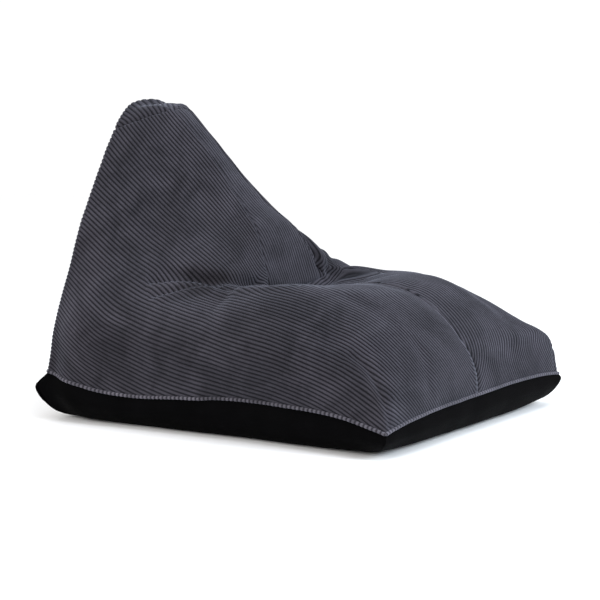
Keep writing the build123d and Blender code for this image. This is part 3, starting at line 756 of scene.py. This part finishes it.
def new_tree(name, sizes, finish):
    """A geometry tree with named sizes and a material beside its geometry, its nodes and links, and its inputs."""
    tree = bpy.data.node_groups.new(name, "GeometryNodeTree")
    tree.interface.new_socket("Geometry", in_out="INPUT", socket_type="NodeSocketGeometry")
    for label, default in sizes:
        socket = tree.interface.new_socket(label, in_out="INPUT", socket_type="NodeSocketFloat")
        socket.default_value = default
    tree.interface.new_socket(finish, in_out="INPUT", socket_type="NodeSocketMaterial")
    tree.interface.new_socket("Geometry", in_out="OUTPUT", socket_type="NodeSocketGeometry")
    return tree, tree.nodes, tree.links, tree.nodes.new("NodeGroupInput").outputs


def end_tree(geometry, finish):
    """Make the copies real and give them their material."""
    real = add_node("GeometryNodeRealizeInstances", geometry)
    finished = add_node("GeometryNodeSetMaterial", real.outputs[0], Material=given[finish])
    links.new(finished.outputs[0], nodes.new("NodeGroupOutput").inputs[0])


ribbed_welt, nodes, links, given = new_tree(
    "ribbed_welt", (("Rib Pitch", 0.0118), ("Radius", WELT_RADIUS), ("Groove", 0.24)), "Cloth")
resample = add_node("GeometryNodeResampleCurve", given["Geometry"], mode="LENGTH", Length=WELT_STEP)
parameter = add_node("GeometryNodeSplineParameter")
turns = add_node("ShaderNodeMath", parameter.outputs["Length"], given["Rib Pitch"], operation="DIVIDE")
phase = add_node("ShaderNodeMath", turns.outputs[0], math.pi, operation="MULTIPLY")
wave = add_node("ShaderNodeMath", phase.outputs[0], operation="SINE")
ridge = add_node("ShaderNodeMath", wave.outputs[0], operation="ABSOLUTE")
soft = add_node("ShaderNodeMath", ridge.outputs[0], 0.5, operation="POWER")
deep = add_node("ShaderNodeMath", soft.outputs[0], given["Groove"], operation="MULTIPLY")
rest = add_node("ShaderNodeMath", 1.0, given["Groove"], operation="SUBTRACT")
total = add_node("ShaderNodeMath", deep.outputs[0], rest.outputs[0], operation="ADD")
radius = add_node("ShaderNodeMath", total.outputs[0], given["Radius"], operation="MULTIPLY")
set_radius = add_node("GeometryNodeSetCurveRadius", resample.outputs[0], Radius=radius.outputs[0])
# the rib count is kept as the wale, which the piping's colour uses to paint its grooves dark as painted shade
store = add_node("GeometryNodeStoreNamedAttribute", set_radius.outputs[0], data_type="FLOAT", Name="wale",
                 Value=turns.outputs[0])
ring = add_node("GeometryNodeCurvePrimitiveCircle", 10, Radius=1.0)
tube = add_node("GeometryNodeCurveToMesh", store.outputs[0], ring.outputs[0])
if "Scale" in tube.inputs:
    links.new(radius.outputs[0], tube.inputs["Scale"])
end_tree(tube.outputs[0], "Cloth")


def grown(source, group, name, **inputs):
    """The smooth-shaded plain mesh that a geometry tree makes of an object, which is then removed."""
    modifier = source.modifiers.new("Grow", "NODES")
    modifier.node_group = group
    for item in group.interface.items_tree:
        if item.in_out == "INPUT" and item.name.replace(" ", "_").lower() in inputs:
            modifier[item.identifier] = inputs[item.name.replace(" ", "_").lower()]
    graph = bpy.context.evaluated_depsgraph_get()
    mesh = bpy.data.meshes.new_from_object(source.evaluated_get(graph), depsgraph=graph)
    mesh.name = name
    mesh.polygons.foreach_set("use_smooth", [True] * len(mesh.polygons))
    bpy.data.objects.remove(source)
    piece = bpy.data.objects.new(name, mesh)
    bpy.context.scene.collection.objects.link(piece)
    return piece


# The piping is the corduroy with its colours raised, as painted light where the welt lies in shade along the hem.
piping = recoloured(corduroy, "charcoal_corduroy_piping", (0.0120, 0.0110, 0.0140), (0.0760, 0.0710, 0.0840))
welt = grown(drawn_line("welt_path", [hem + hem_out * WELT_LIFT], closed=True), ribbed_welt, "hem_welt_cord",
             rib_pitch=0.0118, radius=WELT_RADIUS, groove=0.24, cloth=piping)
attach(welt, "root")
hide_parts("hem_welt")

# ---- cover zip -----------------------------------------------------------------------------------
# A black nylon coil zip in the seam down the rear, so that the cover comes off for washing. Each row of coil
# is one thread wound round and sewn to its woven tape; the slider and its pull are dark metal.
COIL_PITCH = 0.00125
COIL_THREAD = 0.00034
COIL_HALF_WIDTH, COIL_HALF_DEPTH = 0.00085, 0.00075

wound_coil, nodes, links, given = new_tree(
    "wound_coil", (("Turn Pitch", COIL_PITCH), ("Half Width", COIL_HALF_WIDTH), ("Half Depth", COIL_HALF_DEPTH),
                   ("Thread", COIL_THREAD)), "Nylon")
spots = add_node("GeometryNodeCurveToPoints", given["Geometry"], mode="LENGTH", Length=given["Turn Pitch"])
coil_ring = add_node("GeometryNodeCurvePrimitiveCircle", 9, Radius=1.0)
oval_size = add_node("ShaderNodeCombineXYZ", given["Half Width"], given["Half Depth"], 1.0)
oval = add_node("GeometryNodeTransform", coil_ring.outputs[0], Scale=oval_size.outputs[0])
thread_ring = add_node("GeometryNodeCurvePrimitiveCircle", 5, Radius=given["Thread"])
coil_turn = add_node("GeometryNodeCurveToMesh", oval.outputs[0], thread_ring.outputs[0])
wound = add_node("GeometryNodeInstanceOnPoints", spots.outputs["Points"], Instance=coil_turn.outputs[0],
                 Rotation=spots.outputs["Rotation"])
end_tree(wound.outputs[0], "Nylon")

nylon, nodes, links, shader = new_material("black_nylon_coil")
wear = add_node("ShaderNodeTexNoise", object_place(), Scale=160.0)
colour_between(wear.outputs["Fac"], (0.006, 0.006, 0.007), (0.018, 0.018, 0.020))
gloss = add_node("ShaderNodeMapRange", wear.outputs["Fac"], 0.3, 0.7, 0.28, 0.45)
links.new(gloss.outputs[0], shader.inputs["Roughness"])


def coil_row(node, start, end):
    """One row of zip coil between two places, in front of its CAD solid."""
    coil = grown(drawn_line(node, [(start, end)]), wound_coil, "wound_" + node, turn_pitch=COIL_PITCH,
                 half_width=COIL_HALF_WIDTH, half_depth=COIL_HALF_DEPTH, thread=COIL_THREAD, nylon=nylon)
    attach(coil, "root")
    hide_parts(node)


for node, side in (("zip_coil_left", 1), ("zip_coil_right", -1)):
    coil_row(node, (side * 0.0021, 0.4781, 0.1312), (side * 0.0021, 0.4781, 0.5538))

twill_tape, nodes, links, shader = new_material("black_woven_tape")
slant = add_node("ShaderNodeMapping", object_place(), Rotation=(0.0, 0.9, 0.0))
twill = add_node("ShaderNodeTexWave", slant.outputs[0], wave_type="BANDS", bands_direction="X", Scale=300.0,
                 Distortion=0.5)
colour_between(twill.outputs["Fac"], (0.006, 0.006, 0.008), (0.020, 0.020, 0.024))
bumpy(twill.outputs["Fac"], 0.5, 0.0002)
shader.inputs["Roughness"].default_value = 0.82

dark_metal, nodes, links, shader = new_material("satin_black_metal")
scuffs = add_node("ShaderNodeTexNoise", object_place(), Scale=260.0, Detail=4.0)
colour_between(scuffs.outputs["Fac"], (0.022, 0.022, 0.024), (0.050, 0.050, 0.052))
gloss = add_node("ShaderNodeMapRange", scuffs.outputs["Fac"], 0.3, 0.7, 0.24, 0.46)
links.new(gloss.outputs[0], shader.inputs["Roughness"])
shader.inputs["Metallic"].default_value = 0.6


def refinish(node, material):
    """Give a CAD node its finished material."""
    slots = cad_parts[node].material_slots
    for slot in slots:
        slot.material = material
    if not slots:
        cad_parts[node].data.materials.append(material)


for node in ("zip_tape_left", "zip_tape_right"):
    refinish(node, twill_tape)
for node in ("zip_slider", "zip_pull", "zip_top_stop", "zip_bottom_stop"):
    refinish(node, dark_metal)

# ---- liner zip -----------------------------------------------------------------------------------
# The liner's own zip lies level on its rear wall. Its slider has no pull, so that a child can't open it.
for node, height in (("liner_zip_coil_upper", 0.2321), ("liner_zip_coil_lower", 0.2279)):
    coil_row(node, (-0.1438, 0.4679, height), (0.1438, 0.4679, height))
white_tape = recoloured(twill_tape, "white_woven_tape", (0.50, 0.50, 0.48), (0.72, 0.71, 0.68))
steel = recoloured(dark_metal, "satin_steel", (0.30, 0.30, 0.31), (0.42, 0.42, 0.42))
steel.node_tree.nodes["Principled BSDF"].inputs["Metallic"].default_value = 1.0
for node in ("liner_zip_tape_upper", "liner_zip_tape_lower"):
    refinish(node, white_tape)
refinish("liner_zip_slider", dark_metal)
for node in ("liner_zip_stop_left", "liner_zip_stop_right"):
    refinish(node, steel)

# ---- carry loop ----------------------------------------------------------------------------------
# A loop of black ribbed webbing behind the peak, to lift the bag by. Its two ends are sewn flat to the cap
# with a box and a cross of thread, through a canvas patch on the inside; the loop hangs free and swings.
WEBBING_HALF = 0.0148
WEBBING_THICK = 0.0021
# The loop as (Y, Z) places, down its inner run and up its outer one; then the webbing's section, as shares of
# its half-width and its thickness.
loop_line = along_path([(0.4814, 0.7368), (0.4814, 0.700), (0.4814, 0.660), (0.4814, 0.6235), (0.4834, 0.6183),
                        (0.4883, 0.6163), (0.4960, 0.6195), (0.5070, 0.6340), (0.5134, 0.6520),
                        (0.5137, 0.6640), (0.5080, 0.6860), (0.4960, 0.7110), (0.4870, 0.7270),
                        (0.4840, 0.7340), (0.4838, 0.7368)], 6)
webbing_section = [(-1.0, -0.15), (-0.97, -0.42), (-0.90, -0.50), (0.0, -0.50), (0.90, -0.50), (0.97, -0.42),
                   (1.0, -0.15), (1.0, 0.15), (0.97, 0.42), (0.90, 0.50), (0.0, 0.50), (-0.90, 0.50),
                   (-0.97, 0.42), (-1.0, 0.15)]


def turned_out(mesh):
    """Turn the faces of a mesh outwards, and those it stands on downwards."""
    body = bmesh.new()
    body.from_mesh(mesh)
    bmesh.ops.recalc_face_normals(body, faces=body.faces)
    if min(body.faces, key=lambda face: face.calc_center_median().z).normal.z > 0:
        bmesh.ops.reverse_faces(body, faces=body.faces)
    body.to_mesh(mesh)
    body.free()


def webbing(name, lines):
    """Flat webbing along lines of (Y, Z) places, with soft edges, and a UV map that runs with the weave."""
    points, faces, places = [], [], []
    sides = len(webbing_section)
    for line in lines:
        run = np.gradient(line, axis=0)
        run /= np.linalg.norm(run, axis=1, keepdims=True)
        along = np.concatenate([[0], np.cumsum(np.linalg.norm(np.diff(line, axis=0), axis=1))])
        first = len(points)
        for (y, z), (dy, dz), far in zip(line, run, along):
            for across, deep in webbing_section:
                points.append((across * WEBBING_HALF, y - dz * deep * WEBBING_THICK,
                               z + dy * deep * WEBBING_THICK))
                places.append((across * WEBBING_HALF, far))
        for step in range(len(line) - 1):
            for k in range(sides):
                a, b = first + step * sides + k, first + step * sides + (k + 1) % sides
                faces.append((a, b, b + sides, a + sides))
        last = first + (len(line) - 1) * sides
        faces.append(tuple(first + k for k in reversed(range(sides))))
        faces.append(tuple(last + k for k in range(sides)))
    strap = add_mesh(name, points, faces)
    layer = strap.data.uv_layers.new(name="UVMap")
    for corner in strap.data.loops:
        layer.data[corner.index].uv = places[corner.vertex_index]
    turned_out(strap.data)
    strap.data.materials.append(black_webbing)
    strap.data.polygons.foreach_set("use_smooth", [len(p.vertices) == 4 for p in strap.data.polygons])
    return strap


black_webbing, nodes, links, shader = new_material("black_ribbed_webbing")
along_weave = add_node("ShaderNodeUVMap", uv_map="UVMap").outputs[0]
picks = add_node("ShaderNodeTexWave", along_weave, wave_type="BANDS", bands_direction="Y", Scale=260.0)
cords = add_node("ShaderNodeTexWave", along_weave, wave_type="BANDS", bands_direction="X", Scale=170.0)
woven = add_node("ShaderNodeMath", picks.outputs["Fac"], cords.outputs["Fac"], operation="MULTIPLY")
colour_between(woven.outputs[0], (0.004, 0.004, 0.005), (0.017, 0.017, 0.020))
bumpy(woven.outputs[0], 0.6, 0.0004)
shader.inputs["Roughness"].default_value = 0.7

strap = webbing("carry_loop_webbing", [loop_line])
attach(strap, "carry_loop")
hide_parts("carry_loop")
tab_rise = np.linspace(0.7398, 0.7543, 9)
tab = webbing("sewn_loop_ends", [np.stack([np.full(9, 0.48115), tab_rise], axis=1),
                                 np.stack([np.full(9, 0.48330), tab_rise], axis=1)])
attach(tab, "root")
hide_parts("handle_tab")

STITCH_PITCH, STITCH_LENGTH, STITCH_THREAD = 0.0024, 0.0019, 0.00035
thread_stitches, nodes, links, given = new_tree(
    "thread_stitches", (("Stitch Pitch", STITCH_PITCH), ("Stitch Length", STITCH_LENGTH),
                        ("Thread", STITCH_THREAD)), "Thread Finish")
spots = add_node("GeometryNodeCurveToPoints", given["Geometry"], mode="LENGTH", Length=given["Stitch Pitch"])
stitch = add_node("GeometryNodeMeshUVSphere", 6, 5)
half = add_node("ShaderNodeMath", given["Stitch Length"], 0.5, operation="MULTIPLY")
stitch_size = add_node("ShaderNodeCombineXYZ", given["Thread"], given["Thread"], half.outputs[0])
shaped = add_node("GeometryNodeTransform", stitch.outputs[0], Scale=stitch_size.outputs[0])
sewn = add_node("GeometryNodeInstanceOnPoints", spots.outputs["Points"], Instance=shaped.outputs[0],
                Rotation=spots.outputs["Rotation"])
end_tree(sewn.outputs[0], "Thread Finish")

thread = recoloured(nylon, "grey_thread", (0.030, 0.030, 0.034), (0.070, 0.070, 0.078))
left, right, low, high, face = -0.0120, 0.0120, 0.7425, 0.7515, 0.48455
box_and_cross = [[(left, face, low), (right, face, low), (right, face, high), (left, face, high),
                  (left, face, low)], [(left, face, low), (right, face, high)],
                 [(right, face, low), (left, face, high)]]
stitching = grown(drawn_line("box_and_cross", box_and_cross), thread_stitches, "box_cross_stitching",
                  stitch_pitch=STITCH_PITCH, stitch_length=STITCH_LENGTH, thread=STITCH_THREAD,
                  thread_finish=thread)
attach(stitching, "root")
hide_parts("handle_stitching")
refinish("handle_backing_patch", twill_tape)

# ---- canvas base ---------------------------------------------------------------------------------
# A black canvas tray under the bag, with slack pillow ears at its corners. It lies flat on the floor, and
# its upper edge is sewn to the corduroy through the welt.
SPAN_STEPS = 6
WALL_STEPS = 3 * SPAN_STEPS
FLOOR_RINGS = (0.93, 0.6, 0.25)
CANVAS = 0.0018
FOOT_HALF, FOOT_REACH = 0.392, 0.443
BELLY, BELLY_SHARE, LOW_HEIGHT = 0.0075, 0.58, 0.014
FOOT_CORNERS, INNER_FOOT_CORNERS, INNER_CORNERS = 0.075, 0.150, 0.07
CRUMPLE, CORNER_CRUMPLE = 0.0032, 0.006
# Each ear: where its tip is, how far its pull reaches along the hem, and how strongly it pulls.
ears = (((-0.451, 0.484, 0.082), 0.050, 1.0), ((0.451, 0.484, 0.078), 0.050, 1.0),
        ((0.452, -0.514, 0.064), 0.035, 0.9), ((-0.452, -0.514, 0.045), 0.035, 0.9))
# The hem's point nearest to each ear, which at the rear lies a little inwards of it.
corners = [hem[np.argmin(np.abs(hem[:, 0] - 0.39 * np.sign(tip[0])) + np.abs(hem[:, 1] - tip[1]))]
           if tip[1] > 0 else hem[np.argmin(np.hypot(hem[:, 0] - tip[0], hem[:, 1] - tip[1]))]
           for tip, _, _ in ears]
run_length = np.concatenate([[0], np.cumsum(np.linalg.norm(np.diff(hem, axis=0), axis=1))])


def tray(inset, floor, eared):
    """Points of the tray, ring by ring downwards at each place round the hem, with their flat places."""
    points, flat = [], []
    for k, place in enumerate(hem):
        u, v = place[0] / HEM_HALF, (place[1] - HEM_MIDDLE) / HEM_REACH
        pull = 1 - (FOOT_CORNERS if eared else INNER_FOOT_CORNERS) * abs(u * v) ** 4
        out = hem_out[k]
        top = place - out * (0.0010 + inset)
        middle = place + out * (BELLY - inset)
        middle[2] = place[2] * BELLY_SHARE
        if not eared:
            drawn_in = 1 - INNER_CORNERS * abs(u * v) ** 4
            middle[:2] = middle[0] * drawn_in, HEM_MIDDLE + (middle[1] - HEM_MIDDLE) * drawn_in
        foot = np.array([u * FOOT_HALF * pull, HEM_MIDDLE + v * FOOT_REACH * pull, 0.0]) - out * inset
        foot[2] = floor
        low = 0.55 * middle + 0.45 * foot
        low[2] = LOW_HEIGHT + floor
        if eared:
            for (tip, reach, strength), corner in zip(ears, corners):
                near = strength * math.exp(-(np.hypot(*(place - corner)[:2]) / reach) ** 2)
                middle = middle + (np.array(tip) - middle) * near
                low = low + (np.array([tip[0] * 0.95, tip[1] * 0.95, 0.020]) - low) * near * 0.7
        for step, point in enumerate(along_path((top, middle, low, foot), SPAN_STEPS)):
            down = step / WALL_STEPS
            seed = Vector((point[0] * 9, point[1] * 9, point[2] * 4))
            crumple = noise.noise(seed) * 0.5 + noise.noise(seed * 2.3) * 0.35
            size = CRUMPLE + CORNER_CRUMPLE * math.exp(-((1 - abs(u)) ** 2 + (1 - abs(v)) ** 2) / 0.05)
            point = point + out * crumple * size * math.sin(math.pi * min(1.0, down * 1.25)) ** 2
            point[2] = max(point[2], floor)
            points.append(point)
            flat.append((run_length[k], -0.13 * down))
        for ring_step in FLOOR_RINGS:
            points.append(np.array([foot[0] * ring_step, HEM_MIDDLE + (foot[1] - HEM_MIDDLE) * ring_step, floor]))
            flat.append((foot[0] * ring_step, foot[1] * ring_step))
    points.append(np.array([0.0, HEM_MIDDLE, floor]))
    flat.append((0.0, 0.0))
    return np.array(points), flat


def thicken(piece, cloth):
    """Give a sheet of cloth its thickness, inwards."""
    modifier = piece.modifiers.new("Cloth thickness", "SOLIDIFY")
    modifier.thickness = cloth
    modifier.offset = -1.0


base_points, base_uv = tray(0.0, 0.0, True)
base_faces = []
around = len(hem)
levels = WALL_STEPS + 1 + len(FLOOR_RINGS)
for k in range(around):
    here, beyond = k * levels, (k + 1) % around * levels
    for level in range(levels - 1):
        base_faces.append((here + level, here + level + 1, beyond + level + 1, beyond + level))
    base_faces.append((here + levels - 1, len(base_points) - 1, beyond + levels - 1))
canvas_base = add_mesh("canvas_base", base_points, base_faces)
base_mesh = canvas_base.data
uv_layer = base_mesh.uv_layers.new(name="UVMap")
for loop in base_mesh.loops:
    uv_layer.data[loop.index].uv = base_uv[loop.vertex_index]
turned_out(base_mesh)
thicken(canvas_base, CANVAS)

canvas, nodes, links, shader = new_material("black_canvas")
on_cloth = add_node("ShaderNodeUVMap", uv_map="UVMap").outputs[0]
warp, weft = (add_node("ShaderNodeTexWave", on_cloth, wave_type="BANDS", bands_direction=direction, Scale=260.0,
                       Distortion=0.4) for direction in ("X", "Y"))
weave = add_node("ShaderNodeMath", warp.outputs["Fac"], weft.outputs["Fac"], operation="MAXIMUM")
dust = add_node("ShaderNodeTexNoise", object_place(), Scale=14.0, Detail=5.0)
dust_level = add_node("ShaderNodeMapRange", dust.outputs["Fac"], 0.3, 0.75, 0.0, 1.0)
colour_between(dust_level.outputs[0], (0.0005, 0.0005, 0.0006), (0.0012, 0.0011, 0.0014))
bumpy(weave.outputs[0], 0.35, 0.0003)
shader.inputs["Roughness"].default_value = 0.85
shader.inputs["Specular IOR Level"].default_value = 0.03
base_mesh.materials.append(canvas)
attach(canvas_base, "root")
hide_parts("base_panel")

# ---- liner and beads -----------------------------------------------------------------------------
# Inside the cover a thin white liner, in an upper and a lower part, holds the beads, which fill it.
LINER_GAP, LINER_CLOTH, BEAD_GAP = 0.0062, 0.0012, 0.0018
LINER_REAR = 0.468


def inner_skin(points, normals, gap, rear, floor):
    """A copy of a surface, moved inwards, and kept in front of the rear and above the floor."""
    skin = points - normals * gap
    skin[:, 1] = np.minimum(skin[:, 1], rear)
    skin[:, 2] = np.maximum(skin[:, 2], floor)
    return skin


base_rings = [tuple(p.vertices) for p in base_mesh.polygons]

liner_cloth, nodes, links, shader = new_material("white_liner_cloth")
# The cloth is painted darker in the low places of its crumpled relief, as painted shade in the creases.
crumple = add_node("ShaderNodeTexNoise", object_place(), Scale=45.0, Detail=6.0)
colour_between(crumple.outputs["Fac"], (0.58, 0.57, 0.54), (0.78, 0.77, 0.74))
bumpy(crumple.outputs["Fac"], 0.4, 0.001)
shader.inputs["Roughness"].default_value = 0.7

bead_foam, nodes, links, shader = new_material("foam_beads")
# Each bead is painted darker towards its rim, as painted shade in the gaps between the beads.
balls = add_node("ShaderNodeTexVoronoi", object_place(), Scale=220.0)
colour_between(balls.outputs["Distance"], (0.92, 0.92, 0.90), (0.66, 0.66, 0.64))
bumpy(balls.outputs["Distance"], 0.8, 0.002, invert=True)
shader.inputs["Roughness"].default_value = 0.85

liner_top = add_mesh("liner_upper_cloth",
                     inner_skin(bag, bag_normals, LINER_GAP, LINER_REAR, 0.0), bag_faces)
liner_foot = add_mesh("liner_base_cloth",
                      tray(LINER_GAP, CANVAS + 0.0006, False)[0], base_rings)
for piece, node in ((liner_top, "liner_upper"), (liner_foot, "liner_base")):
    piece.data.materials.append(liner_cloth)
    thicken(piece, LINER_CLOTH)
    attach(piece, "root")
    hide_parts(node)

BEAD_REAR = LINER_REAR - 0.0059
bead_top = inner_skin(bag, bag_normals, LINER_GAP + LINER_CLOTH + BEAD_GAP, BEAD_REAR, 0.0)
bead_foot = tray(LINER_GAP + LINER_CLOTH + BEAD_GAP, 0.0045, False)[0]
joining = []
for k in range(around):
    following = (k + 1) % around
    joining.append((hem_ring[k], hem_ring[following], len(bag) + following * levels, len(bag) + k * levels))
beads = add_mesh("bead_filling", np.vstack([bead_top, bead_foot]),
                 bag_faces + [tuple(i + len(bag) for i in face) for face in base_rings] + joining)
turned_out(beads.data)
beads.data.materials.append(bead_foam)
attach(beads, "root")
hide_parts("bead_fill")

# ---- floor, lights and camera --------------------------------------------------------------------
# A plain pale floor under a white background, soft lights over it, and the camera.
floor_mesh = bpy.data.meshes.new("studio_floor")
floor_mesh.from_pydata([(-6, -6, 0), (6, -6, 0), (6, 6, 0), (-6, 6, 0)], [], [(0, 1, 2, 3)])
studio_floor = bpy.data.objects.new("studio_floor", floor_mesh)
bpy.context.scene.collection.objects.link(studio_floor)

AZIMUTH = math.radians(-57.7)
ELEVATION = math.radians(6.4)
DISTANCE = 5.0
TARGET = Vector((0.0, -0.015, 0.33))
camera_data = bpy.data.cameras.new("camera")
camera_data.lens = 119.0
camera_data.shift_x = -0.0067
camera_data.shift_y = -0.03
camera = bpy.data.objects.new("camera", camera_data)
back = Vector((math.sin(AZIMUTH) * math.cos(ELEVATION), -math.cos(AZIMUTH) * math.cos(ELEVATION),
               math.sin(ELEVATION)))
camera.location = TARGET + DISTANCE * back
camera.rotation_euler = back.to_track_quat("Z", "Y").to_euler()
bpy.context.scene.collection.objects.link(camera)
bpy.context.scene.camera = camera

world = bpy.data.worlds.new("studio")
world.use_nodes = True
world.node_tree.nodes["Background"].inputs["Color"].default_value = (1.0, 1.0, 1.0, 1.0)
world.node_tree.nodes["Background"].inputs["Strength"].default_value = 1.05
bpy.context.scene.world = world
bpy.context.scene.view_settings.view_transform = "Standard"
white = bpy.data.materials.new("pale_floor")
white.use_nodes = True
white.node_tree.nodes["Principled BSDF"].inputs["Base Color"].default_value = (0.93, 0.93, 0.93, 1.0)
white.node_tree.nodes["Principled BSDF"].inputs["Roughness"].default_value = 0.8
floor_mesh.materials.append(white)
for name, place, size, power, tint in (
        ("key_light", (0.6, -3.2, 1.7), 1.8, 120.0, (0.80, 0.90, 1.0)),
        ("top_light", (0.0, -0.9, 3.4), 2.6, 55.0, (0.86, 0.92, 1.0)),
        ("side_light", (-3.0, 1.2, 1.5), 1.6, 45.0, (1.0, 0.97, 0.95))):
    lamp_data = bpy.data.lights.new(name, "AREA")
    lamp_data.size = size
    lamp_data.energy = power
    lamp_data.color = tint
    lamp = bpy.data.objects.new(name, lamp_data)
    lamp.location = place
    lamp.visible_camera = False
    lamp.rotation_euler = (Vector(place) - TARGET).to_track_quat("Z", "Y").to_euler()
    bpy.context.scene.collection.objects.link(lamp)
